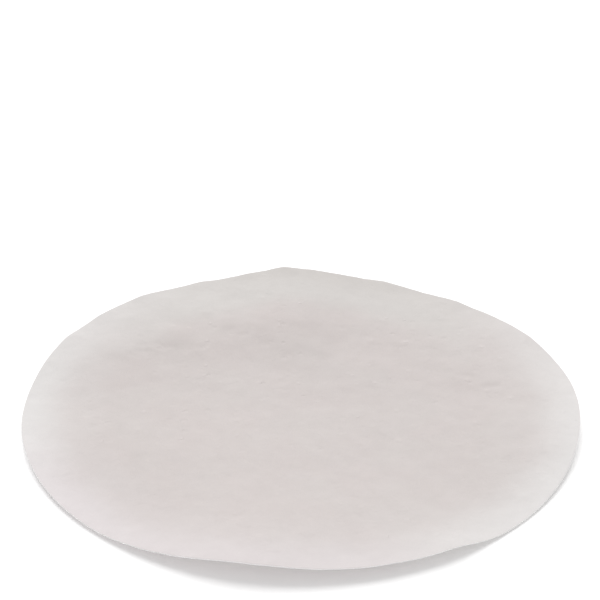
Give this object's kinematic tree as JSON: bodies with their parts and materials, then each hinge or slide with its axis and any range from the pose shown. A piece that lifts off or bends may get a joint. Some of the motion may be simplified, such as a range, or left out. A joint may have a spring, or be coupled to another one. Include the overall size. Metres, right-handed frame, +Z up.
{
  "type": "filter paper disc",
  "caption": "Round sheet of soft white filter paper with a flat middle and a gently curled border.",
  "frame": {"origin": "centre of the sheet, on the underside of its flat middle", "axes": "+Z up through the sheet, +Y towards the curled ridge at the back, +X to the right of it seen from the front"},
  "size_m": [0.11, 0.11, 0.0034],
  "materials": {
    "paper": "soft uncoated felt, warm grey-white"
  },
  "bodies": {
    "root": {"filter_disc": "paper"}
  },
  "joints": []
}
